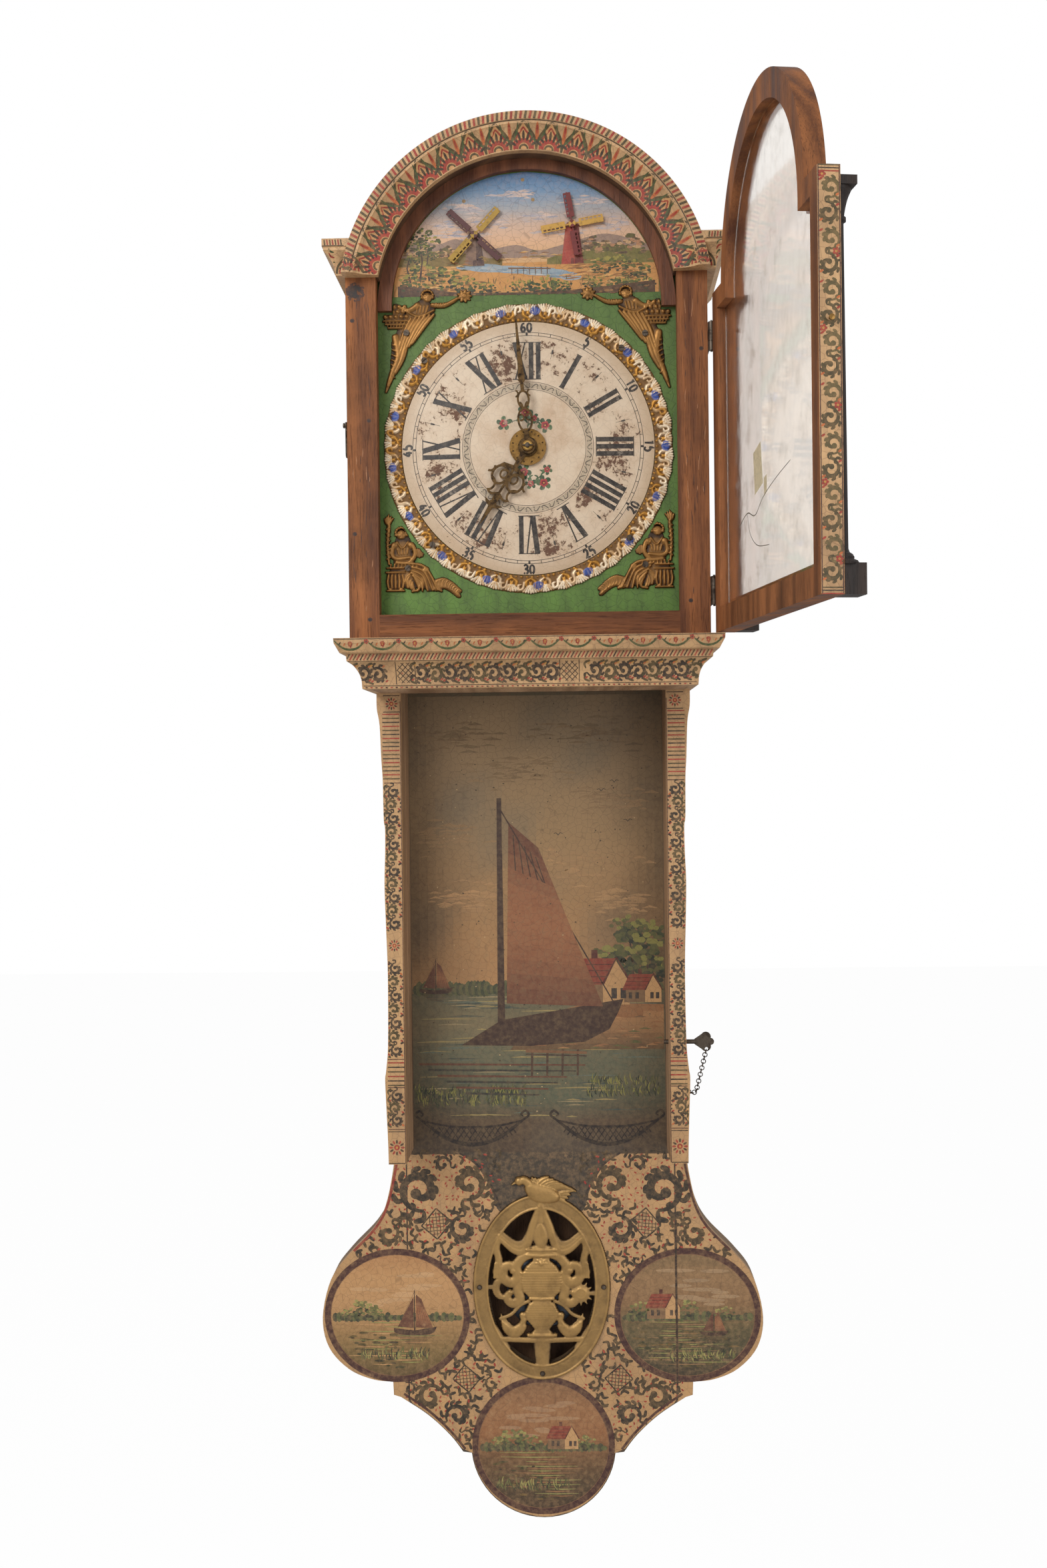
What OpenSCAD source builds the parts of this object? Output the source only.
// Frisian tail clock ("staartklok"): a weight-driven wall clock with a painted arched hood, a
// domed painted dial, a glazed door that stands open, and a long shallow tail for the pendulum.
// Millimetres. X to the right, Y into the wall (the wall is Y = 0), Z up.
// The origin is the hanging hole at the top of the backboard.

/* [Hood] */
// Half the width of the hood over its stiles
hood_half_w = 151.5; // [130:0.5:175]
// Front face of the hood's stiles, out from the wall
hood_front = 165; // [145:1:190]
// Thickness of the hood's front frame
hood_frame_t = 14; // [10:1:18]
// Thickness of the hood's side boards
hood_side_t = 8; // [6:0.5:12]
// Height of the arch's centre below the hanging hole
arch_drop = 110; // [100:1:120]
// How far the painted arch moulding reaches past the hood's sides
arch_lip = 3.5; // [0:0.5:8]
// Width of the hood's stiles, beside the front opening
stile_w = 25.5; // [23:0.5:30]
// How far the plain inner mask board shows inside the arched opening
mask_lap = 12; // [8:1:18]
// Height of the side mouldings at the ears
ear_h = 28; // [22:1:32]
// How far the moulding stands out at its top
ear_out = 17; // [12:1:20]
// Underside of the side mouldings, below the hanging hole
ear_low = 85; // [80:1:92]
// Foot of the hood below the hanging hole
hood_foot = 389.7; // [370:0.1:410]
// Height of the hood's bottom rail
rail_h = 21.5; // [15:0.5:30]

/* [Door] */
// Thickness of the door frame
door_t = 16; // [12:0.5:20]
// Width of the door's stiles
door_stile = 21.5; // [16:0.5:28]
// Height of the door's bottom rail
door_rail = 25; // [18:0.5:32]
// Outer radius of the door's arched head
door_r = 120; // [112:1:121]
// Top of the door's shoulders below the hanging hole
door_shoulder = 106; // [100:1:114]
// Angle at which the door stands open
door_open = 98.5; // [0:0.5:110]
// Thickness of the glass
glass_t = 2; // [1.5:0.5:3]
// Radius of the colonettes' turned shafts
colonette_r = 5.5; // [4:0.25:7]
// Radius of the hinge pins
hinge_pin_r = 1; // [0.8:0.1:1.6]

/* [Cornice and seat] */
// Height of the cornice under the hood
cornice_h = 41; // [32:1:50]
// How far the cornice's top edge reaches past the hood's sides
cornice_side = 9; // [4:0.5:18]
// How far the cornice's top edge stands in front of the hood
cornice_front = 35; // [30:1:45]
// Depth of the cornice's cove, from its top edge in to its foot
cornice_cove = 21; // [15:1:22]
// Thickness of the seat board that carries the movement
seat_t = 12; // [8:1:16]

/* [Tail] */
// How much narrower than the hood the tail is on each side, to the inside of its boards
tail_step = 35; // [33:0.5:45]
// How far the side lobes reach past the inside of the tail's boards
lobe_out = 86; // [78:0.5:94]
// Thickness of the tail's side boards
tail_side_t = 10; // [8:0.5:12]
// Front of the tail's painted stiles, out from the wall
tail_front = 97; // [80:1:110]
// Thickness of the painted stiles
stile_t = 6; // [4:0.5:8]
// Lower end of the side boards and stiles
stile_foot = 847; // [800:1:880]
// Front of the painted tail board, out from the wall
panel_front = 32; // [30:1:40]
// Thickness of the painted tail board
panel_t = 8; // [6:0.5:10]
// Thickness of the backboard
back_t = 8; // [6:0.5:10]
// Thickness of the bent rim of the pendulum box
rim_t = 5; // [4:0.5:7]
// Radius of the hanging hole
hang_r = 5; // [3:0.5:8]
// Height of the oval window's centre below the hanging hole
oval_drop = 975; // [950:1:990]
// Half the width of the oval window
oval_rx = 48.5; // [40:0.5:55]
// Half the height of the oval window
oval_ry = 71; // [60:0.5:76]
// Width of the cast frame round the oval window
oval_band = 15; // [10:0.5:18]

/* [Dial and hands] */
// Height of the dial's centre below the hanging hole
dial_drop = 227.5; // [220:0.5:235]
// Width of the ground between the domed disc and the front opening's sides
disc_margin = 19; // [17:0.5:24]
// How far the disc is domed
disc_dome = 5; // [3:0.5:7]
// Gap between the cast garland ring and the front opening's sides
garland_side = 1.5; // [0.5:0.5:6]
// Number of shells in the garland
shells = 50; // [36:2:60]
// Thickness of the dial plate
dial_t = 1.6; // [1.2:0.1:2.5]
// Length of the hour hand
hour_len = 78; // [65:1:85]
// Length of the minute hand
minute_len = 108; // [95:1:112]
// Thickness of the hands
hand_t = 1.2; // [0.8:0.1:2]
// Radius of the alarm disc
alarm_r = 15.5; // [12:0.5:20]

/* [Movement] */
// Length from the pendulum's pivot to the middle of its bob
pendulum_len = 774; // [740:1:790]
// Radius of the bob
bob_r = 33; // [28:0.5:38]
// Thickness of the bob
bob_t = 10; // [7:0.5:11]
// Half the width of the movement's plates
plate_half_w = 56; // [50:1:62]
// Module of the great wheel and the pinion it drives
train_module = 1; // [1:0.05:1.05]
// Teeth of the escape wheel
escape_teeth = 24; // [24:1:24]

/* [Pin and chain] */
// Radius of the locking pin's shank
lock_r = 2; // [1.5:0.25:3]
// Height of the locking pin below the hanging hole
lock_drop = 743; // [700:1:780]
// Ring radius of a chain link, to the middle of its wire
link_r = 1.95; // [1.8:0.05:2.3]
// Wire radius of a chain link
link_wire = 0.4; // [0.3:0.05:0.45]

/* [Hidden] */
$fn = 64;
run = 0.05; // running clearance, on the radius
push = 0.01; // clearance of a push fit, on the radius
gap = 0.3; // working gap between pieces that move past each other
arch_z = -arch_drop;
arch_r = hood_half_w + arch_lip; // outer radius of the arch moulding
arch_in_r = hood_half_w - stile_w; // its inner radius, and half the width of the front opening
mask_r = arch_in_r - mask_lap;
cornice_half_w = hood_half_w + cornice_side;
tail_half_w = hood_half_w - tail_step; // half the width between the tail's side boards
disc_r = arch_in_r - disc_margin;
garland_r = arch_in_r - garland_side;
dial_z = -dial_drop;
mask_t = 6;
hood_back = back_t + 0.5;
back_half_w = hood_half_w - hood_side_t - 4; // half the width of the backboard inside the hood
frame_back = hood_front - hood_frame_t; // back of the front frame, out from the wall
dial_back = frame_back - 4 - dial_t;
dial_face = dial_back + dial_t;
rail_top = -hood_foot + rail_h;
cornice_top = -hood_foot - gap;
cornice_z = cornice_top - cornice_h;
cornice_y = hood_front + cornice_front;
seat_half_w = hood_half_w - 18;
seat_front = cornice_y - cornice_cove - 9;
panel_back = panel_front - panel_t;
door_back = hood_front + gap;
door_hw = hood_half_w - 1;
door_foot = -hood_foot + 2.2;
door_mid = -hood_front - gap - door_t / 2;
hinge_x = hood_half_w + 3;
hinge_y = -hood_front - gap / 2;
hinge_z = [-140, -352];
knuckle = 8;
knuckle_r = 2.6;
glass_y = door_back + door_t * 0.5;
mill_k = mask_r / 114; // the mills grow with the arch, from the radius of 114 that they are drawn in
mill_hub = [for (h = [[-43.5, 63.5], [39.5, 71]]) [h[0] * mill_k, h[1] * mill_k + arch_z]];
mill_len = [30 * mill_k, 27 * mill_k];
corner_out = arch_in_r - 126; // the corner pieces are drawn for an opening 126 from its middle
mill_turn = [47, 10];
arbor_r = 2;
stud_r = 1; // the stud that the pendulum hangs on
pipe_r = 3.4;
hour_pipe_r = 4.6;
disc_crown = dial_face + 1 + disc_dome;
alarm_y = disc_crown + 1;
hour_y = alarm_y + 1.4 + gap;
minute_y = hour_y + hand_t + 2.6;
arbor_y = minute_y + hand_t + 4.6;
// The movement: seat, plates and the heights of its arbors
seat_z = cornice_top;
plate_y = [34, 132];
plate_low = seat_z + 6;
plate_high = -172;
bar_y = [40, 84, 127];
bar_t = 4;
bf = bar_t / 2;
great_z = -318;
great_teeth = 80;
pinion_teeth = 8;
second_teeth = 68;
second_module = 0.9;
second_z = great_z + train_module * (great_teeth + pinion_teeth) / 2;
escape_z = second_z + second_module * (second_teeth + pinion_teeth) / 2;
escape_r = 20;
escape_phase = 45.25; // the turn at which both pallets stand clear of the teeth
anchor_z = escape_z + escape_r * 1.44;
pendulum_y = (back_t + panel_back) / 2;
train_y = 100;
strike_y = 59;
drive_teeth = 72;
drive_module = (dial_z - great_z) / drive_teeth;
motion_y = bar_y[2] + bar_t / 2 + 1.6;
cannon_teeth = 20;
stud_teeth = 60;
stud_x = 0.8 * (cannon_teeth + stud_teeth) / 2;
hour_module = stud_x * 2 / 75;
bob_z = anchor_z - pendulum_len;
lock_y = 78;

wide = 600; // more than half the clock's width, for cuts that pass right across it
oak = [0.46, 0.33, 0.22];
brown = [0.42, 0.27, 0.18];
cream = [0.80, 0.66, 0.50];
panel_c = [0.34, 0.29, 0.22];
gilt = [0.72, 0.52, 0.24];
brass = [0.70, 0.56, 0.30];
steel = [0.45, 0.44, 0.42];
dark = [0.24, 0.19, 0.17];

// A ring of n points on an ellipse
function ellipse(rx, ry, n = 72) = [for (i = [0:n - 1]) [rx * cos(360 * i / n), ry * sin(360 * i / n)]];
// An arc of points from angle a to angle b
function arc(r, a, b, n = 12, c = [0, 0]) =
  [for (i = [0:n]) c + r * [cos(a + (b - a) * i / n), sin(a + (b - a) * i / n)]];
// A smooth curve through a few points
function curve(p, n = 5) = [for (i = [0:len(p) - 2]) for (j = [0:n - 1])
  let (t = j / n, a = p[max(i - 1, 0)], b = p[i], c = p[i + 1], d = p[min(i + 2, len(p) - 1)])
  0.5 * (2 * b + (c - a) * t + (2 * a - 5 * b + 4 * c - d) * t * t
  + (3 * b - a - 3 * c + d) * t * t * t)];
// Closes a right-hand outline, drawn from its top down, with its mirror image on the left
function both(p) = concat([for (q = p) [-q[0], q[1]]], [for (i = [len(p) - 1:-1:0]) p[i]]);
// A toothed outline: teeth of height h on a root circle r, of root width a and tip width b
function teeth(n, r, h, a, b, turn = 0) = [for (i = [0:n - 1]) let (s = 360 / n, t = turn + i * s)
  for (q = [[r, -a], [r + h, -b], [r + h, b], [r, a]]) q[0] * [cos(t + q[1] * s / 2), sin(t + q[1] * s / 2)]];

// Draws a flat outline in the XZ plane, its back y1 and its front y2 out from the wall
module slab(y1, y2) translate([0, -y1, 0]) rotate([90, 0, 0]) linear_extrude(y2 - y1) children();
// A round bar out from the wall at x, z
module bar_y(x, z, r, y1, y2) translate([x, -y1, z]) rotate([90, 0, 0]) cylinder(r = r, h = y2 - y1);
// Turns a profile of radius and distance from the wall round an axis at x, z
module turned(x, z) translate([x, 0, z]) rotate([90, 0, 0]) rotate_extrude() children();
module mirrored() { children(); mirror([1, 0, 0]) children(); }
module ring(r, w) difference() { circle(r = r); circle(r = r - w); }
module half_disc(r, low) intersection() {
  circle(r = r);
  translate([-wide, low]) square([2 * wide, wide]);
}
module block(x1, x2, y1, y2, z1, z2) translate([x1, -y2, z1]) cube([x2 - x1, y2 - y1, z2 - z1]);

/* The case */

lobes_drawn_w = 202.5; // half the width that the lobes' points are drawn at
lobes_drawn_foot = 847; // and the stile foot that they are drawn below
lobes_drawn = concat(
  curve([[134.5, -lobes_drawn_foot], [135.5, -866], [143, -900], [154.3, -921], [177.5, -945],
    [194.3, -968], [202.5, -1003], [197, -1031], [179, -1051], [157.5, -1060.5], [138, -1063]]),
  [[138, -1063], [137.5, -1075], [131, -1077]],
  curve([[131, -1077], [106, -1093.5], [86, -1112], [74, -1127.5]]),
  [[74, -1127.5], [66.3, -1128.5]],
  arc(66.5, -6, -90, 14, [0, -1121.5]));
tail_outline = [for (p = lobes_drawn)
  [p[0] * (tail_half_w + lobe_out) / lobes_drawn_w, p[1] + lobes_drawn_foot - stile_foot]];

module tail_lobes(inset = 0) {
  if (inset == 0) polygon(both(tail_outline));
  else intersection() {
    translate([-inset, 0]) polygon(both(tail_outline));
    translate([inset, 0]) polygon(both(tail_outline));
    translate([0, inset]) polygon(both(tail_outline));
    translate([0, -inset]) polygon(both(tail_outline));
  }
}

module oval(extra = 0) translate([0, -oval_drop]) polygon(ellipse(oval_rx + extra, oval_ry + extra));

module backboard() color(oak) difference() {
  slab(0, back_t) {
    translate([0, arch_z]) half_disc(back_half_w, -1);
    translate([-back_half_w, cornice_top]) square([2 * back_half_w, arch_z - cornice_top]);
    translate([-tail_half_w, -stile_foot - 20]) square([2 * tail_half_w, cornice_top + stile_foot + 22]);
    intersection() {
      tail_lobes(rim_t);
      translate([-wide, -stile_foot - rim_t - 0.2 - wide]) square([2 * wide, wide]);
    }
  }
  translate([0, 1, 0]) rotate([90, 0, 0]) cylinder(r = hang_r, h = back_t + 2);
}

seam_x = tail_half_w + 7;
module tail_board() color(panel_c) slab(panel_back, panel_front) difference() {
  union() {
    translate([-tail_half_w, -stile_foot - 1])
      square([2 * tail_half_w, stile_foot + 1 + cornice_top - seat_t]);
    intersection() {
      tail_lobes();
      translate([-seam_x, -stile_foot - wide]) square([2 * seam_x, wide]);
    }
  }
  oval();
}

module tail_wings() color(cream) slab(panel_back, panel_front) mirrored() intersection() {
  tail_lobes();
  translate([seam_x, -stile_foot - wide]) square([wide, wide]);
}

module tail_rim() color(oak) slab(0, panel_back) difference() {
  tail_lobes();
  tail_lobes(rim_t);
  translate([-tail_half_w, -stile_foot - rim_t - 20]) square([2 * tail_half_w, rim_t + 21]);
}

module tail_sides() color(oak) mirrored() difference() {
  block(tail_half_w, tail_half_w + tail_side_t, 0, tail_front - stile_t, -stile_foot, cornice_top - seat_t);
  translate([tail_half_w - 1, -lock_y, -lock_drop]) rotate([0, 90, 0])
    cylinder(r = lock_r + run, h = tail_side_t + 2);
}

// The stiles' sawn outer edge
stile_edge = curve([[21.2, cornice_z], [21, -445], [18.8, -459], [17.6, -490], [16.6, -508],
  [16.2, -542], [15.1, -550], [15.3, -572], [16.2, -600], [15.4, -635], [14.5, -665],
  [14.3, -695], [14.9, -742], [16.8, -764], [17.8, -773], [16.8, -802], [15.9, -827],
  [15.5, -stile_foot]], 4);
module tail_stiles() color(cream) slab(tail_front - stile_t, tail_front) mirrored()
  translate([tail_half_w, 0])
    polygon(concat([[0, cornice_z]], stile_edge, [[15.5, -stile_foot], [0, -stile_foot]]));

// The moulding of the cornice: how far its face stands in at each height below its top
cornice_profile = concat([[0, 0], [0.3, -4], [4.5, -12], [9, -12.6], [9.6, -18.5]],
  curve([[9.6, -18.5], [14.5, -22], [18.6, -28], [20.4, -34], [20.7, -38]], 4),
  [[20.7, -38], [cornice_cove, -cornice_h]]);
// A moulding that turns both front corners in true mitres
module wrap(p, half_w, front, back, top) intersection() {
  translate([0, -back, top]) rotate([90, 0, 0]) linear_extrude(front - back)
    polygon(both([for (q = p) [half_w - q[0], q[1]]]));
  translate([-half_w, 0, top]) rotate([90, 0, 90]) linear_extrude(2 * half_w)
    polygon(concat([for (q = p) [-front + q[0], q[1]]], [[-back, p[len(p) - 1][1]], [-back, 0]]));
}

module cornice() color(cream) difference() {
  wrap(cornice_profile, cornice_half_w, cornice_y, 0, cornice_top);
  block(-seat_half_w, seat_half_w, -1, seat_front, cornice_z - 1, cornice_top + 1);
}

module soffit() color(oak) {
  block(-seat_half_w, seat_half_w, tail_front - stile_t, seat_front, cornice_z, cornice_z + 8);
  mirrored()
    block(tail_half_w + tail_side_t, seat_half_w, 0, tail_front - stile_t + 1, cornice_z, cornice_z + 8);
}

module seat_board() color(oak) difference() {
  block(-seat_half_w, seat_half_w, back_t, seat_front, cornice_top - seat_t, cornice_top);
  // The pendulum's slot, and two slots for the weights' chains
  block(-20, 20, back_t - 1, panel_back + 6, cornice_top - seat_t - 1, cornice_top + 1);
  for (y = [strike_y, train_y]) block(-26, -8, y - 5, y + 5, cornice_top - seat_t - 1, cornice_top + 1);
  for (y = [strike_y, train_y]) block(8, 26, y - 5, y + 5, cornice_top - seat_t - 1, cornice_top + 1);
}

/* The cast window ornament */

// An S-shaped or C-shaped strap
module strap(c, r, a, b, w) let (low = min(a, b), high = max(a, b))
  polygon(concat(arc(r, low, high, 10, c), arc(r - w, high, low, 10, c)));
module loop(c, rx, ry, w) translate(c) difference() {
  polygon(ellipse(rx, ry, 32));
  polygon(ellipse(rx - w, ry - w, 32));
}
module leaf(c, l, w, t) translate(c) rotate(t) polygon(ellipse(l, w, 16));

urn_side = curve([[4.2, 17], [6.2, 16], [5.4, 12], [6.5, 7], [13, 1], [20, -7], [22.5, -18],
  [18, -34], [9, -44], [3.6, -49], [3.4, -54], [6, -58], [11, -63], [14, -69]], 4);
// Scrolls and a tassel for one side of the window
module handles() {
  strap([24, -6], 13, 100, -75, 3);
  strap([24, 16], 12, -130, 95, 3);
  strap([34, -30], 12, 150, -60, 2.8);
  strap([16, 43], 17, 190, 330, 2.6);
  strap([12, 26], 9, 60, 250, 2.4);
  strap([14, -66], 16, 10, -100, 2.6);
  translate([38, 18]) circle(r = 3.4);
  translate([41, 9]) circle(r = 2.6);
  translate([42, 2]) circle(r = 3.2);
  translate([34, 14]) square([3, 6]);
  translate([39, 5]) square([2.4, 12]);
  translate([41, 0]) square([7, 2.4]);
}
module window_casting() color(gilt) {
  // the oval frame, with a raised edge on both sides and leaves between them
  slab(panel_front, panel_front + 2) difference() { oval(oval_band); oval(); }
  slab(panel_front + 1.9, panel_front + 3.4) difference() { oval(oval_band); oval(oval_band - 2.5); }
  slab(panel_front + 1.9, panel_front + 3) difference() { oval(2.2); oval(); }
  slab(panel_front + 1.9, panel_front + 2.8) for (i = [0:27]) let (t = i * 360 / 28)
    leaf([(oval_rx + 7.4) * cos(t), (oval_ry + 7.4) * sin(t) - oval_drop], 5.2, 2.1, t + 40);
  translate([0, 0, -oval_drop + 28]) {
    mirrored() slab(panel_front, panel_front + 3.2) handles();
    slab(panel_front, panel_front + 3.2) {
      polygon(both(concat(urn_side, [[14, -69]])));
      // flame and collar
      translate([0, 19]) circle(r = 4.6);
      polygon([[-4, 19], [4, 19], [0, 31]]);
      // foot, down to the frame
      translate([-27, -72]) square([54, 4]);
      translate([-4, -oval_ry - 30]) square([8, oval_ry - 40]);
      // moon, sun and the two small birds below them, each joined to the frame or the scrolls
      translate([-39, -34]) difference() { circle(r = 11); translate([6, 2]) circle(r = 9); }
      translate([-42, -46]) square([4, 8]);
      translate([38, -33]) circle(r = 7.5);
      translate([38, -33]) polygon(teeth(12, 7, 5, 0.8, 0.1));
      leaf([-24, -62], 12, 8, 0);
      translate([-34, -54]) circle(r = 4.6);
      leaf([-16, -58], 9, 4, 30);
      leaf([24, -62], 8, 12, 0);
      translate([26, -50]) circle(r = 5.4);
    }
  }
  // the bird that crowns the frame, standing over the window's top
  slab(panel_front + 1, panel_front + 6) translate([0, -oval_drop + oval_ry + 16]) {
    polygon(ellipse(12, 9, 32));
    translate([5, 11]) circle(r = 5.6);
    polygon([[9, 13], [9, 8.5], [15, 10.5]]);
    leaf([-19, 2], 17, 6.5, -14);
    leaf([20, 3], 15, 5.5, 22);
    translate([-4, -15]) square([8, 10]);
  }
}

module window_nails() color(steel) for (q = [[0, -oval_ry - 8.5], [-oval_rx - 8.5, 0], [oval_rx + 8.5, 0]])
  turned(q[0], -oval_drop + q[1]) polygon([[0, panel_back + 1], [0.8, panel_back + 1],
    [0.8, panel_front + 2.7], [2.4, panel_front + 2.9], [1.6, panel_front + 4.2], [0, panel_front + 4.6]]);
// The stud that the pendulum hangs on
module pendulum_stud() color(steel) turned(0, anchor_z) polygon([[0, back_t - 6], [stud_r, back_t - 6],
  [stud_r, back_t], [3, back_t], [3, pendulum_y - 2 - gap], [stud_r, pendulum_y - 2 - gap],
  [stud_r, pendulum_y + 2 + gap], [2, pendulum_y + 2 + gap], [2, pendulum_y + 3.5], [0, pendulum_y + 4]]);

/* The hood */

module hood_sides() color(oak) mirrored()
  block(hood_half_w - hood_side_t, hood_half_w, hood_back, frame_back, -hood_foot, -ear_low + ear_h - 2);

module arch_half(r) intersection() {
  translate([0, arch_z]) circle(r = r);
  translate([-250, -ear_low]) square([500, 300]);
}

roof_z = -ear_low + ear_h - 2; // top of the side boards, where the bent roof and the ears begin
roof_x = sqrt(pow(arch_r - 5, 2) - pow(roof_z - arch_z, 2));
module hood_roof() color(oak) {
  slab(hood_back, frame_back) difference() {
    translate([0, arch_z]) half_disc(arch_r - 5, roof_z - arch_z);
    translate([0, arch_z]) circle(r = arch_r - 12);
  }
  mirrored() block(roof_x - 8, hood_half_w, hood_back, frame_back, roof_z, roof_z + 6);
}

module hood_stiles() color(brown) slab(frame_back, hood_front) mirrored()
  translate([arch_in_r, -hood_foot]) square([hood_half_w - arch_in_r, hood_foot - ear_low]);

module hood_rail() color(brown) slab(frame_back, hood_front)
  translate([-arch_in_r, -hood_foot]) square([2 * arch_in_r, rail_h]);

module arch_board() color(oak) slab(frame_back, hood_front) difference() {
  union() {
    arch_half(arch_r - 3);
    translate([-hood_half_w, -ear_low]) square([2 * hood_half_w, ear_h - 2]);
  }
  translate([0, arch_z]) circle(r = arch_in_r);
}

// The hood moulding's face: how far it stands out from the board at each height
hood_face = concat([[7, 0], [7.4, 3]], curve([[7.4, 3], [8.6, 8.5], [11.2, 13.5], [15.2, 18]], 4),
  [[15.2, 18], [16, 18.6], [16, 21], [ear_out, 21.6], [ear_out, ear_h]]);
module ear_wrap() intersection() {
  translate([0, -hood_back, -ear_low]) rotate([90, 0, 0]) linear_extrude(hood_front + ear_out - hood_back)
    polygon(both([for (q = hood_face) [hood_half_w + q[0], q[1]]]));
  translate([-200, 0, -ear_low]) rotate([90, 0, 90]) linear_extrude(400)
    polygon(concat([for (q = hood_face) [-hood_front - q[0], q[1]]], [[-hood_back, ear_h], [-hood_back, 0]]));
}
module arch_moulding() color(cream) {
  difference() {
    ear_wrap();
    block(-hood_half_w, hood_half_w, -10, hood_front, -ear_low - 1, 0);
    slab(hood_front - 1, hood_front + 40) translate([0, arch_z]) circle(r = arch_r - 1);
  }
  // the arch itself, turned from the same face
  intersection() {
    translate([0, -hood_front, arch_z]) rotate([90, 0, 0]) rotate_extrude()
      polygon(concat([[arch_in_r, 0]],
        [for (q = hood_face) [arch_in_r + q[1] * (arch_r - arch_in_r) / ear_h, q[0]]], [[arch_r, 0]]));
    block(-200, 200, 0, 300, -ear_low, 100);
  }
}

module arch_mask() color(oak) slab(dial_face + 0.4, dial_face + 0.4 + mask_t) difference() {
  translate([0, arch_z]) half_disc(arch_in_r - 0.1, 0);
  translate([0, arch_z + 3]) circle(r = mask_r);
  translate([-mask_r, arch_z - 1]) square([2 * mask_r, 4]);
}

module hood_hinges() color(brass) for (z = hinge_z) {
  block(hood_half_w, hood_half_w + 1.2, frame_back + 1, hood_front - 3, z - 12, z + 12);
  for (s = [-1, 1]) let (low = z + s * knuckle - knuckle / 2 + 0.15) {
    translate([hinge_x, hinge_y, low]) cylinder(r = knuckle_r, h = knuckle - 0.3);
    translate([hood_half_w + 0.2, hinge_y + 0.4, low]) cube([1.4, 3.2, knuckle - 0.3]);
  }
  translate([hinge_x, hinge_y, z - 1.5 * knuckle - 1]) cylinder(r = hinge_pin_r, h = 3 * knuckle + 2);
}

/* The door, drawn shut and then swung open */

module swung() translate([hinge_x, hinge_y, 0]) rotate([0, 0, door_open])
  translate([-hinge_x, -hinge_y, 0]) children();
module door_shape() {
  translate([-door_hw, door_foot]) square([2 * door_hw, -door_shoulder - door_foot]);
  translate([0, arch_z]) half_disc(door_r, 0);
}
// The glazed opening keeps the arch's width, so the shoulders stay solid
module door_light(in) {
  translate([-door_hw + door_stile - in, door_foot + door_rail - in])
    square([2 * (door_hw - door_stile + in), -door_shoulder - 16 - door_foot - door_rail + in]);
  translate([0, arch_z - 6]) half_disc(door_r - 20 + in, -30);
}
module door_frame() color(oak) swung() difference() {
  slab(door_back, door_back + door_t) difference() { door_shape(); door_light(0); }
  // the rebate that takes the glass
  slab(door_back - 1, glass_y + glass_t / 2 + 0.1) door_light(5);
}
module door_glass() color([0.86, 0.85, 0.82, 0.5]) swung()
  slab(glass_y - glass_t / 2, glass_y + glass_t / 2) door_light(4.8);

// Half-round colonettes on the door's face, with moulded foot and capital and a square plinth
module colonettes() color(dark) swung() for (s = [-1, 1])
  translate([s * (door_hw - door_stile / 2), -door_back - door_t, door_foot]) intersection() {
    union() {
      translate([-10, -15.4, 0]) cube([20, 20, 21]);
      rotate_extrude() polygon(concat([[0, 20], [12.6, 20], [13, 21.4], [12, 23], [9.6, 24], [9.8, 25.4],
        [8.6, 27.4], [colonette_r + 1.2, 28.6], [colonette_r + 0.4, 31], [colonette_r - 0.6, 246],
        [colonette_r + 1, 247], [colonette_r + 1, 249.4], [colonette_r - 0.2, 250.4]],
        curve([[colonette_r - 0.2, 250.4], [6.2, 256], [7.8, 262], [10, 267]], 4),
        [[10, 267], [10, 269.4], [0, 269.4]]));
      translate([-10.7, -11.4, 269]) cube([21.4, 20, 6]);
    }
    translate([-30, -30, -1]) cube([60, 30, 300]);
  }

module door_hinges() color(brass) swung() for (z = hinge_z) difference() {
  union() {
    translate([door_hw + push, -door_back - door_t + 1, z - 12]) cube([1.2, door_t - 2, 24]);
    translate([door_hw + 0.4, hinge_y - 2.4, z - knuckle / 2 + 0.15]) cube([2, 2, knuckle - 0.3]);
    translate([hinge_x, hinge_y, z - knuckle / 2 + 0.15]) cylinder(r = knuckle_r, h = knuckle - 0.3);
  }
  translate([hinge_x, hinge_y, z - knuckle]) cylinder(r = hinge_pin_r + run, h = 2 * knuckle);
}

hook_z = -207;
hook_y = frame_back + 5;
// The stud on the door's free edge that the side hook catches
module door_stud() color(brass) swung() translate([-door_hw, door_mid, hook_z]) rotate([0, -90, 0])
  rotate_extrude() polygon([[0, -3], [0.9, -3], [0.9, 3.2], [2, 3.6], [2, 4.6], [0, 5]]);
module hook_screw() color(brass) translate([-hood_half_w, -hook_y, hook_z]) rotate([0, -90, 0])
  rotate_extrude() polygon([[0, -5], [1.1, -5], [1.1, 3.2], [2.4, 3.2], [2, 4.4], [0, 4.8]]);
module wire() circle(r = 0.95, $fn = 24);
module side_hook() color(brass) translate([-hood_half_w - 1.75, -hook_y, hook_z]) rotate([90, 0, -90]) {
  rotate_extrude() translate([2.1, 0]) wire();
  translate([0, -1.6, 0]) rotate([90, 0, 0]) linear_extrude(21.4) wire();
  translate([-3, -23, 0]) rotate([0, 0, -180]) rotate_extrude(angle = 180) translate([3, 0]) wire();
}

/* The locking pin and its chain */

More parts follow.
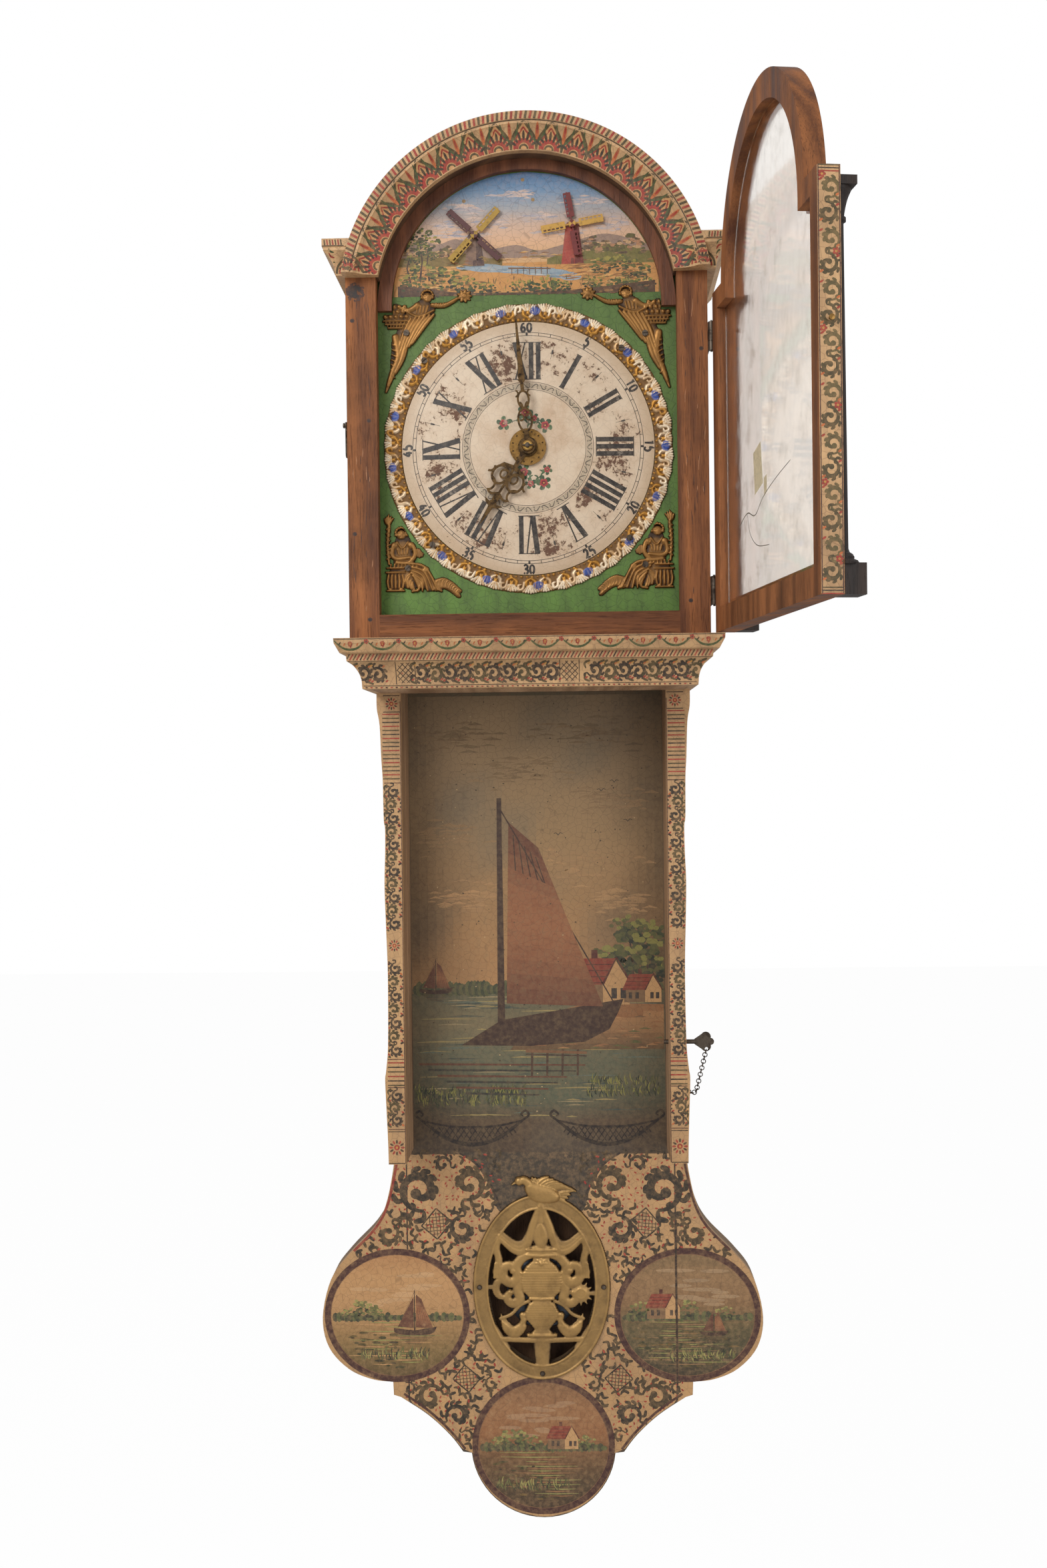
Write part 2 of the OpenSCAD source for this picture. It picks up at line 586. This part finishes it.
heart_hole = [10.6, -6.4];
module heart() difference() {
  union() {
    for (s = [-1, 1]) translate([10.2, s * 4.2]) circle(r = 4.4);
    polygon([[0, -2.2], [0, 2.2], [7, 7], [13, 5.5], [13, -5.5], [7, -7]]);
    translate([14.4, 0]) circle(r = 3);
  }
  translate(heart_hole) circle(r = 1.5);
}
pin_x = tail_half_w + tail_side_t;
head_x = 13;
module lock_pin() color(brass) translate([pin_x, -lock_y, -lock_drop]) {
  translate([-tail_side_t - 4, 0, 0]) rotate([0, 90, 0]) cylinder(r = lock_r, h = tail_side_t + 18);
  translate([0.3, 0, 0]) rotate([0, 90, 0]) rotate_extrude()
    polygon([[0, 0], [4, 0], [4, 1.2], [2.6, 2.6], [0, 2.6]]);
  translate([head_x, 0.9, 0]) rotate([90, 0, 0]) linear_extrude(1.8) heart();
}

// The chain hangs from the heart, turns round below and runs up to its staple. Links are taut
// along the straight stretches and lie closer together round the turn.
links = 21;
down = -104;
turn_at = 12;
turns = 5;
turn_by = (down + 270) / turns;
taut_pitch = 2 * (link_r - link_wire) - 0.1;
slack_pitch = 4 / 3 * link_r;
chain_top = [pin_x + head_x + heart_hole[0], heart_hole[1] - lock_drop];
function heading(k) = down - turn_by * max(0, min(turns, k - turn_at));
function pitch(k) = k < turn_at || k > turn_at + turns + 1 ? taut_pitch : slack_pitch;
function step(k) = k == 0 ? 2.55 : pitch(k);
function link_at(k) = (k == 0 ? chain_top : link_at(k - 1)) + step(k) * [cos(heading(k)), sin(heading(k))];
module link() rotate_extrude($fn = 32) translate([link_r, 0]) circle(r = link_wire, $fn = 16);
module chain() color(brass) for (k = [0:links - 1])
  let (p = link_at(k), t = (heading(k) + heading(k + 1)) / 2)
    translate([p[0], -lock_y, p[1]]) rotate([0, -t, 0]) rotate([k % 2 == 0 ? 0 : 90, 0, 0]) link();
last = link_at(links - 1);
module chain_staple() color(steel) translate([0, -lock_y, last[1] + link_r]) {
  translate([last[0], 0, 0]) rotate([90, 0, 0]) rotate_extrude($fn = 32)
    translate([1.6, 0]) circle(r = 0.45, $fn = 16);
  translate([pin_x - 4, 0, 0]) rotate([0, 90, 0]) cylinder(r = 0.6, h = last[0] - 1.9 - pin_x + 4);
}

/* The dial */

module dial_outline(r) {
  translate([0, arch_z]) intersection() { circle(r = r); translate([-200, 0]) square([400, 200]); }
  translate([-r, -hood_foot + 6]) square([2 * r, hood_foot - 6 + arch_z]);
}
module dial_plate() color([0.38, 0.48, 0.30]) {
  slab(dial_back, dial_face) difference() {
    dial_outline(arch_in_r + 5);
    translate([0, dial_z]) circle(r = hour_pipe_r + 3);
    for (m = mill_hub) translate(m) circle(r = 1.4 + run);
  }
  // the feet that join it to the movement
  for (x = [-44, 44], z = [plate_low + 1.5, plate_high + 1.5]) bar_y(x, z, 1.4, plate_y[1], dial_back);
  // the stud for the intermediate wheel of the motion work
  bar_y(stud_x, dial_z, 1.5, motion_y + 2.2, dial_back);
}

module dial_disc() color([0.86, 0.78, 0.68]) turned(0, dial_z)
  polygon(concat([for (i = [0:9]) let (r = 5.4 + (disc_r - 5.4) * i / 9)
      [r, dial_face + disc_dome * (1 - pow(r / disc_r, 2))]],
    [for (i = [9:-1:0]) let (r = 5.4 + (disc_r - 5.4) * i / 9)
      [r, dial_face + 1 + disc_dome * (1 - pow(r / disc_r, 2))]]));

module garland() color(gilt) {
  slab(dial_face, dial_face + 3.4) difference() {
    translate([0, dial_z]) polygon([for (i = [0:shells * 6 - 1]) let (t = i * 60 / shells)
      (garland_r - 3.4 + 3.4 * sqrt(abs(sin(t * shells / 2)))) * [cos(t), sin(t)]]);
    translate([0, dial_z]) circle(r = disc_r + 0.1);
  }
  slab(dial_face + 1.7, dial_face + 3.4) translate([0, dial_z]) ring(disc_r + 0.1, 2.2);
}

// One cast corner ornament, drawn for the upper right corner: leaf scrolls round a shell
module spandrel(high) {
  translate([98, 98]) circle(r = 11);
  translate([98, 98]) polygon(teeth(9, 10, 7, 0.9, 0.35, 5));
  strap([112, 84], 12, 170, -60, 4);
  strap([84, 112], 12, 100, 330, 4);
  translate([107, 88]) circle(r = 5.5);
  translate([88, 107]) circle(r = 5.5);
  strap([117, 65], 11, 110, -60, 3.4);
  leaf([112, 70], 4, 9, 0);
  if (high) {
    strap([64, 122], 12, 20, 265, 3.6);
    leaf([51, 126], 4, 10, 70);
    strap([100, 122], 13, -130, 60, 3.6);
    leaf([74, 112], 4.5, 13, 62);
    strap([42, 130], 8, 10, 265, 3);
  } else {
    leaf([73, 114], 4.5, 12, 66);
    translate([108, 106]) circle(r = 8);
  }
}
module corner(high) slab(dial_face, dial_face + 2.6) difference() {
  union() {
    strap([0, 0], garland_r + 7.5, high ? 33 : 38, high ? 73 : 57, 5);
    translate([corner_out, corner_out]) spandrel(high);
  }
  circle(r = garland_r + gap);
}
module spandrels() color(gilt) intersection() {
  translate([0, 0, dial_z]) {
    mirrored() corner(true);
    mirrored() mirror([0, 0, 1]) corner(false);
  }
  // inside the front opening and, higher up, inside the mask's opening
  slab(dial_face - 1, dial_face + 4) {
    translate([-arch_in_r + 0.6, rail_top + 1]) square([2 * arch_in_r - 1.2, arch_z - rail_top - 1 - gap]);
    translate([-mask_r + gap, arch_z - 2]) square([2 * (mask_r - gap), 5]);
    translate([0, arch_z + 3]) circle(r = mask_r - gap);
  }
}

screw_at = concat([for (t = [46, 139, 224.5, 317.7]) (disc_r + 8) * [cos(t), sin(t)]],
  [for (p = [[-102, 99.4], [100, 95], [-103, -100], [98, -100]])
    [p[0] + sign(p[0]) * corner_out, p[1] + sign(p[1]) * corner_out]]);
module dial_screws() color(steel) for (i = [0:7]) let (y = dial_face + (i < 4 ? 3.4 : 2.6))
  translate([screw_at[i][0], -y, dial_z + screw_at[i][1]]) rotate([90, 0, 0]) difference() {
    cylinder(r = 2.6, h = 1.3, $fn = 32);
    rotate(i * 37) translate([-3, -0.35, 0.6]) cube([6, 0.7, 1]);
  }

module sails(i) color(i == 0 ? [0.35, 0.20, 0.22] : [0.66, 0.24, 0.20]) {
  slab(dial_face + 2.6, dial_face + 3.4) translate(mill_hub[i]) rotate(mill_turn[i]) difference() {
    for (t = [0, 90]) rotate(t) {
      translate([-mill_len[i], -0.6]) square([2 * mill_len[i], 1.2]);
      for (s = [0, 180]) rotate(s) translate([6, -3.2]) square([mill_len[i] - 6.5, 6.4]);
    }
    // the open bars of the four sails
    for (t = [0:90:270], k = [0:4]) rotate(t)
      translate([8 + k * (mill_len[i] - 9) / 5, 0.9]) square([(mill_len[i] - 9) / 5 - 1.1, 1.5]);
  }
  bar_y(mill_hub[i][0], mill_hub[i][1], 3, dial_face + gap, dial_face + 4.6);
  bar_y(mill_hub[i][0], mill_hub[i][1], 1.4, dial_back - 4, dial_face + gap);
  bar_y(mill_hub[i][0], mill_hub[i][1], 2.6, dial_back - 3, dial_back - gap);
}
module mill_left() sails(0);
module mill_right() sails(1);

module alarm_disc() color(brass) slab(alarm_y, alarm_y + 1.4) translate([0, dial_z]) difference() {
  circle(r = alarm_r);
  circle(r = hour_pipe_r + run);
  for (t = [0:30:330]) rotate(t + 15) translate([alarm_r - 2.6, 0]) circle(r = 0.7);
}

/* The hands */

module hour_half() {
  loop([7.4, 32], 7.6, 9, 2);
  loop([4.9, 30], 3.8, 4.4, 1.6);
  strap([13, 43], 7, 120, 262, 1.8);
  strap([18.4, 30], 5, 95, 215, 1.8);
  strap([6.4, 45], 5.4, 150, 30, 2);
  polygon([[-1, 19], [10, 21.4], [12, 24.6], [8.6, 23.6], [-1, 23]]);
  polygon([[-1, 56.6], [8.6, 54.4], [6, 57.8], [2, 59.6], [-1, 60]]);
  polygon([[-1, 44], [3.2, 47], [2.4, 54], [3.8, 56], [-1, 57]]);
}
module hour_hand() color(steel) difference() {
  translate([0, 0, dial_z]) rotate([0, 212.6, 0]) {
    slab(hour_y, hour_y + hand_t) {
      circle(r = 8.2);
      polygon([[-2.6, 6], [2.6, 6], [1.7, 22], [-1.7, 22]]);
      translate([-1, 20]) square([2, 28]);
      polygon([[-2.6, 56], [2.6, 56], [0.9, hour_len - 6], [0, hour_len], [-0.9, hour_len - 6]]);
    }
    mirrored() slab(hour_y, hour_y + hand_t) hour_half();
  }
  bar_y(0, dial_z, hour_pipe_r + push, hour_y - 1, hour_y + hand_t + 1);
}
module minute_half() {
  strap([5.6, 33], 5.2, 120, 235, 1.6);
  strap([3.4, 24], 3.2, 65, 295, 1.3);
  strap([6.8, 44.4], 3.4, 110, 260, 1.3);
}
module minute_hand() color(steel) difference() {
  translate([0, 0, dial_z]) rotate([0, -4.7, 0]) {
    slab(minute_y, minute_y + hand_t) {
      circle(r = 6.6);
      polygon([[-2.8, 5], [2.8, 5], [1.6, 13], [-1.6, 13]]);
      loop([0, 22], 6.6, 10.6, 1.8);
      loop([0, 39], 5.4, 8, 1.7);
      polygon([[-1.5, 46], [1.5, 46], [1.5, 53], [3.2, 55.5], [1.8, 57], [-1.8, 57], [-3.2, 55.5],
        [-1.5, 53]]);
      translate([0, 59]) polygon(ellipse(3, 3.9, 24));
      polygon([[-2.4, 61.5], [2.4, 61.5], [1.1, minute_len - 14], [0.8, minute_len], [-0.8, minute_len],
        [-1.1, minute_len - 14]]);
    }
    mirrored() slab(minute_y, minute_y + hand_t) minute_half();
  }
  bar_y(0, dial_z, pipe_r + push, minute_y - 1, minute_y + hand_t + 1);
}
module hand_collet() color(brass) turned(0, dial_z) polygon([[pipe_r + push, minute_y + hand_t],
  [5, minute_y + hand_t], [4.4, minute_y + hand_t + 1.2], [pipe_r + push, minute_y + hand_t + 1.2]]);
// The fixed arbor that the hands turn on, with its taper pin
module centre_arbor() color(steel) {
  difference() {
    bar_y(0, dial_z, arbor_r, bar_y[2] + bar_t / 2, arbor_y);
    translate([-4, -arbor_y + 1.4, dial_z]) rotate([0, 90, 0]) cylinder(r = 0.6 + run, h = 8);
  }
  translate([-4.4, -arbor_y + 1.4, dial_z]) rotate([0, 90, 0]) cylinder(r = 0.6, h = 8.8);
}

/* The movement */

module wheel(n, m, y, t, hub, spokes, turn = 0, bore = 0) slab(y, y + t) difference() {
  polygon(teeth(n, m * (n / 2 - 1.15), 1.95 * m, 0.60, 0.22, turn));
  difference() {
    circle(r = m * n / 2 - 1.15 * m - 3.4);
    circle(r = hub);
    for (k = [0:spokes - 1]) rotate(k * 360 / spokes + 90) translate([0, -1.6]) square([m * n / 2, 3.2]);
  }
  if (bore > 0) circle(r = bore);
}
module pinion(n, m, y1, y2, turn, bore = 0) slab(y1, y2) difference() {
  polygon(teeth(n, m * (n / 2 - 1.3), 1.95 * m, n < 10 ? 0.46 : 0.56, n < 10 ? 0.30 : 0.24, turn));
  if (bore > 0) circle(r = bore);
}
// An arbor between two bars, with a pivot at each end
module arbor(r, y1, y2, p, l1, l2) {
  bar_y(0, 0, r, y1 + gap, y2 - gap);
  bar_y(0, 0, p, y1 - l1, y1 + gap);
  bar_y(0, 0, p, y2 - gap, y2 + l2);
}

pillar_at = [for (x = [-1, 1], y = [plate_y[0] + 7, plate_y[1] - 7]) [x * (plate_half_w - 6), -y]];
module plates() color(brass) for (z = [plate_low, plate_high]) difference() {
  block(-plate_half_w, plate_half_w, plate_y[0], plate_y[1], z, z + 3);
  for (y = bar_y) block(-7 - push, 7 + push, y - bar_t / 2 - push, y + bar_t / 2 + push, z - 1, z + 4);
  for (p = pillar_at) translate([p[0], p[1], z - 1]) cylinder(r = 2.5 + push, h = 5);
  if (z == plate_low) for (y = [strike_y, train_y]) mirrored() block(8, 26, y - 5, y + 5, z - 1, z + 4);
  if (z == plate_high) block(-plate_half_w - 1, -32, strike_y - 4, strike_y + 14, z - 1, z + 4);
}
// Turned pillars: a foot under the lower plate, a tenon through each plate and a nut on top
module pillars() color(brass) for (p = pillar_at) translate(p) rotate_extrude()
  polygon(concat([[0, seat_z], [5, seat_z], [5.4, seat_z + 2], [3.6, plate_low], [2.5, plate_low],
    [2.5, plate_low + 3], [4.4, plate_low + 3], [4.4, plate_low + 6]],
    curve([[2.8, plate_low + 9], [4.2, plate_low + 30], [4.6, (plate_low + plate_high) / 2],
      [4.2, plate_high - 30], [2.8, plate_high - 9]], 5),
    [[2.8, plate_high - 9], [4.4, plate_high - 3], [4.4, plate_high], [2.5, plate_high],
    [2.5, plate_high + 3], [4, plate_high + 3], [4, plate_high + 6], [2, plate_high + 8],
    [0, plate_high + 9]]));

module bars() color(steel) difference() {
  union() {
    for (y = bar_y) block(-7, 7, y - bar_t / 2, y + bar_t / 2, plate_low, plate_high + 3);
    for (y = [bar_y[0], bar_y[1]]) block(-44, -6, y - bar_t / 2, y + bar_t / 2, anchor_z - 4, anchor_z + 4);
  }
  for (z = [great_z, second_z]) bar_y(0, z, 1.2 + run, 0, bar_y[1] + 10);
  bar_y(0, second_z, 1.2 + run, bar_y[1], 140);
  bar_y(0, great_z, 1.8 + run, bar_y[1] + 20, 140);
  bar_y(0, escape_z, 0.9 + run, bar_y[1] - 5, 140);
  bar_y(0, anchor_z, 2.5, bar_y[1] - 5, bar_y[1] + 5);
  bar_y(0, anchor_z, 1 + run, bar_y[2] - 5, 140);
  bar_y(0, anchor_z, 1.6 + run, 30, bar_y[0] + 5);
  bar_y(-40, anchor_z, 1 + run, 30, bar_y[1] + 5);
}

module sprocket(y) {
  translate([0, -y, 0]) rotate([90, 0, 0]) {
    cylinder(r = 15, h = 6);
    cylinder(r = 17.5, h = 1);
    translate([0, 0, 5]) cylinder(r = 17.5, h = 1);
    for (k = [0:11]) rotate(k * 30) translate([14, 0, 3]) rotate([0, 90, 0])
      cylinder(r1 = 1.2, r2 = 0.4, h = 4.6, $fn = 16);
  }
}
module great_wheel() color(brass) translate([0, 0, great_z]) {
  wheel(great_teeth, train_module, 91, 3, 10, 4);
  sprocket(96.4);
  bar_y(0, 0, 9, 93.9, 96.5);
  arbor(3, bar_y[1] + bf, bar_y[2] - bf, 1.2, 1.8, 0);
  bar_y(0, 0, 1.8, bar_y[2] - bf - gap, motion_y + 4);
}
module second_wheel() color(brass) translate([0, 0, second_z]) {
  wheel(second_teeth, second_module, 104.4, 2.2, 6, 4);
  pinion(pinion_teeth, train_module, 89, 96, 22.5);
  arbor(2, bar_y[1] + bf, bar_y[2] - bf, 1.2, 1.8, 3.6);
}
module escape_wheel() color(brass) translate([0, 0, escape_z]) {
  slab(114, 115.6) difference() {
    polygon([for (i = [0:escape_teeth - 1]) let (s = 360 / escape_teeth, t = escape_phase + i * s)
      for (q = [[escape_r - 4.6, 0], [escape_r - 4.6, 0.72], [escape_r, 0.97], [escape_r, 1.0]])
        q[0] * [cos(t + (q[1] - 1) * s), sin(t + (q[1] - 1) * s)]]);
    difference() {
      circle(r = escape_r - 6.6);
      circle(r = 4);
      for (k = [0:3]) rotate(k * 90) translate([0, -1]) square([escape_r, 2]);
    }
  }
  pinion(pinion_teeth, second_module, 102, 109, 22.5);
  arbor(1.4, bar_y[1] + bf, bar_y[2] - bf, 0.9, 3.6, 3.6);
}
module anchor() color(steel) {
  slab(113.4, 116.2) difference() {
    union() {
      translate([0, anchor_z]) circle(r = 4.4);
      mirrored() {
        polygon([[0, anchor_z + 4], [8, anchor_z + 1], [17, anchor_z - 7.6], [19.4, anchor_z - 13],
          [15.6, escape_z + 12.6], [14.7, escape_z + 13], [15.8, anchor_z - 12.4], [13.6, anchor_z - 8.6],
          [6.5, anchor_z - 3.2], [0, anchor_z - 4]]);
      }
    }
    translate([0, escape_z]) circle(r = escape_r + 0.25);
  }
  translate([0, 0, anchor_z]) {
    arbor(1.8, bar_y[0] + bf, bar_y[2] - bf, 1, 0, 3.6);
    bar_y(0, 0, 1.6, pendulum_y + 11, bar_y[0] + bf + 1);
  }
  // the crutch, with a fork round the pendulum rod
  slab(pendulum_y + 9, pendulum_y + 11) {
    translate([0, anchor_z]) circle(r = 4);
    translate([-1.5, anchor_z - 62]) square([3, 62]);
    translate([-3.8, anchor_z - 66]) square([7.6, 5]);
  }
  mirrored() block(1.5 + gap, 3.8, pendulum_y - 3, pendulum_y + 9.5, anchor_z - 66, anchor_z - 61);
}
module drive_wheel() color(brass) translate([0, 0, great_z])
  wheel(drive_teeth, drive_module, motion_y, 1.8, 8, 4, 0, 1.8 + run);
module cannon_wheel() color(brass) {
  translate([0, 0, dial_z]) {
    wheel(drive_teeth, drive_module, motion_y, 1.8, 8, 4, 180 / drive_teeth, arbor_r + run);
    pinion(cannon_teeth, 0.8, motion_y + 1.8, motion_y + 6, 0, arbor_r + run);
  }
  turned(0, dial_z) polygon([[arbor_r + run, motion_y + 5.9], [pipe_r, motion_y + 5.9],
    [pipe_r, minute_y + hand_t + 1.2], [arbor_r + run, minute_y + hand_t + 1.2]]);
}
module stud_wheel() color(brass) translate([stud_x, 0, dial_z]) {
  wheel(stud_teeth, 0.8, motion_y + 2.6, 1.6, 5, 4, 3, 1.5 + run);
  pinion(15, hour_module, motion_y + 4.2, motion_y + 10.6, 0, 1.5 + run);
}
module hour_wheel() color(brass) {
  translate([0, 0, dial_z]) wheel(60, hour_module, motion_y + 6.8, 1.6, 7.5, 4, 0, pipe_r + run);
  turned(0, dial_z) polygon([[pipe_r + run, motion_y + 6.8], [6.6, motion_y + 6.8], [6.6, motion_y + 9.6],
    [hour_pipe_r, motion_y + 10], [hour_pipe_r, hour_y + hand_t], [pipe_r + run, hour_y + hand_t]]);
}

module strike_wheel() color(brass) translate([0, 0, great_z]) {
  wheel(great_teeth, train_module, 48, 3, 10, 4);
  sprocket(strike_y - 3);
  bar_y(0, 0, 9, 50.9, strike_y - 2.9);
  arbor(3, bar_y[0] + bf, bar_y[1] - bf, 1.2, 3.6, 1.8);
}
module pin_wheel() color(brass) translate([0, 0, second_z]) {
  wheel(60, second_module, 64.4, 2.4, 6, 4);
  pinion(pinion_teeth, train_module, 46, 53, 22.5);
  arbor(2, bar_y[0] + bf, bar_y[1] - bf, 1.2, 3.6, 1.8);
  for (k = [0:7]) rotate([0, k * 45, 0]) bar_y(0, 22.5, 0.9, 66, 71);
}
bell_z = plate_high + 14;
module bell() color(brass) translate([0, -strike_y, bell_z]) rotate_extrude() difference() {
  polygon(concat([[2.2, 0]], arc(30, 0, 82, 12), [[2.2, 30]]));
  polygon(concat([[0, -1], [28.2, -1]], arc(28.2, 0, 82, 12), [[0, 28.2]]));
}
module bell_stand() color(steel) translate([0, -strike_y, 0]) rotate_extrude()
  polygon([[0, plate_high + 3], [8, plate_high + 3], [8, plate_high + 5], [2.2, plate_high + 7],
    [2.2, bell_z + 26], [2.15, bell_z + 30.4], [4.6, bell_z + 30.4], [4.6, bell_z + 32.4],
    [3, bell_z + 34.6], [0, bell_z + 35.4]]);
module hammer() color(steel) translate([-40, 0, anchor_z]) {
  arbor(1.8, bar_y[0] + bf, bar_y[1] - bf, 1, 3.6, 3.6);
  slab(strike_y - 1.5, strike_y + 1.5) {
    circle(r = 4);
    translate([-1.3, 0]) square([2.6, bell_z - anchor_z - 2]);
  }
  translate([-4.5, -strike_y, bell_z - anchor_z + 2]) rotate([0, 90, 0]) cylinder(r = 4.2, h = 11);
  // the tail that the wheel's pins lift
  slab(67, 70) {
    circle(r = 4);
    polygon([[-1.3, 0], [1.3, 0], [13.4, second_z - anchor_z + 14], [11, second_z - anchor_z + 13.4]]);
  }
}

/* The pendulum */

module pendulum_rod() color(steel) {
  difference() {
    union() {
      bar_y(0, anchor_z, 3.2, pendulum_y - 2, pendulum_y + 2);
      translate([0, -pendulum_y, bob_z - bob_r - 22])
        cylinder(r = 1.5, h = anchor_z - 2.4 - bob_z + bob_r + 22);
    }
    bar_y(0, anchor_z, stud_r + run, pendulum_y - 5, pendulum_y + 5);
  }
  // rating nut under the bob
  translate([0, -pendulum_y, bob_z - bob_r - 5]) rotate_extrude()
    polygon([[0, 0], [4, 0.6], [4, 3.2], [2, 5], [0, 5]]);
}
// Half of the lens's section, from its rim towards one face
function lens(side) = [for (i = [0:8]) let (t = i * 90 / 8)
  [bob_r * sin(t), pendulum_y + side * bob_t / 2 * (0.12 + 0.88 * cos(t))]];
module bob() color([0.30, 0.31, 0.33]) difference() {
  turned(0, bob_z) polygon(concat(lens(-1), [for (i = [8:-1:0]) lens(1)[i]]));
  translate([0, -pendulum_y, bob_z - bob_r - 1]) cylinder(r = 1.5 + push, h = 2 * bob_r + 2);
}

backboard();
tail_board();
tail_wings();
tail_rim();
tail_sides();
tail_stiles();
cornice();
soffit();
seat_board();
window_casting();
window_nails();
pendulum_stud();
hood_sides();
hood_roof();
hood_stiles();
hood_rail();
arch_board();
arch_moulding();
arch_mask();
hood_hinges();
hook_screw();
door_frame();
door_glass();
colonettes();
door_hinges();
door_stud();
side_hook();
lock_pin();
chain();
chain_staple();
dial_plate();
dial_disc();
garland();
spandrels();
dial_screws();
mill_left();
mill_right();
alarm_disc();
hour_hand();
minute_hand();
hand_collet();
centre_arbor();
plates();
pillars();
bars();
great_wheel();
second_wheel();
escape_wheel();
anchor();
drive_wheel();
cannon_wheel();
stud_wheel();
hour_wheel();
strike_wheel();
pin_wheel();
bell();
bell_stand();
hammer();
pendulum_rod();
bob();
